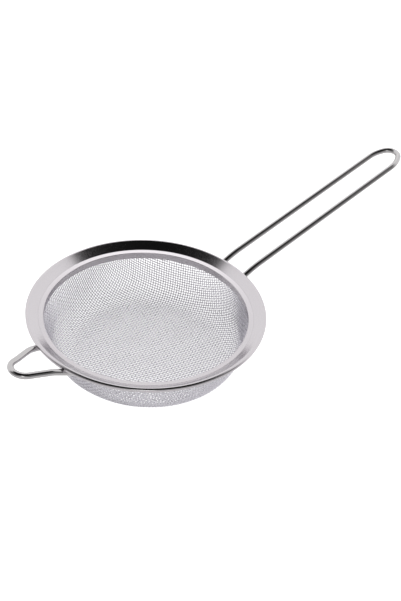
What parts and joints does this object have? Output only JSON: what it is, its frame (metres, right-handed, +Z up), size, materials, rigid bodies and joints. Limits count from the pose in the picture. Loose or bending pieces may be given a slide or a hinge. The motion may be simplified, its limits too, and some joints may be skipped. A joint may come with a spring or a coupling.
{
  "type": "tea strainer",
  "caption": "Shallow round wire-mesh tea strainer with a flanged steel rim, a long wire loop handle and a small wire rest hook.",
  "frame": {"origin": "centre of the flat underside that the bowl stands on, on the bowl's axis", "axes": "+Z up along the bowl's axis, +X from the bowl's axis towards the handle, +Y across the handle"},
  "size_m": [0.212, 0.094, 0.0443],
  "materials": {
    "satin_sheet": "satin stainless sheet, spun grain round the rim",
    "woven_cloth": "plain-weave stainless wire cloth",
    "polished_wire": "polished stainless wire"
  },
  "bodies": {
    "root": {"rim": "satin_sheet", "clamp_ring": "satin_sheet", "mesh_bowl": "woven_cloth", "handle": "polished_wire", "rest_hook": "polished_wire"}
  },
  "joints": []
}
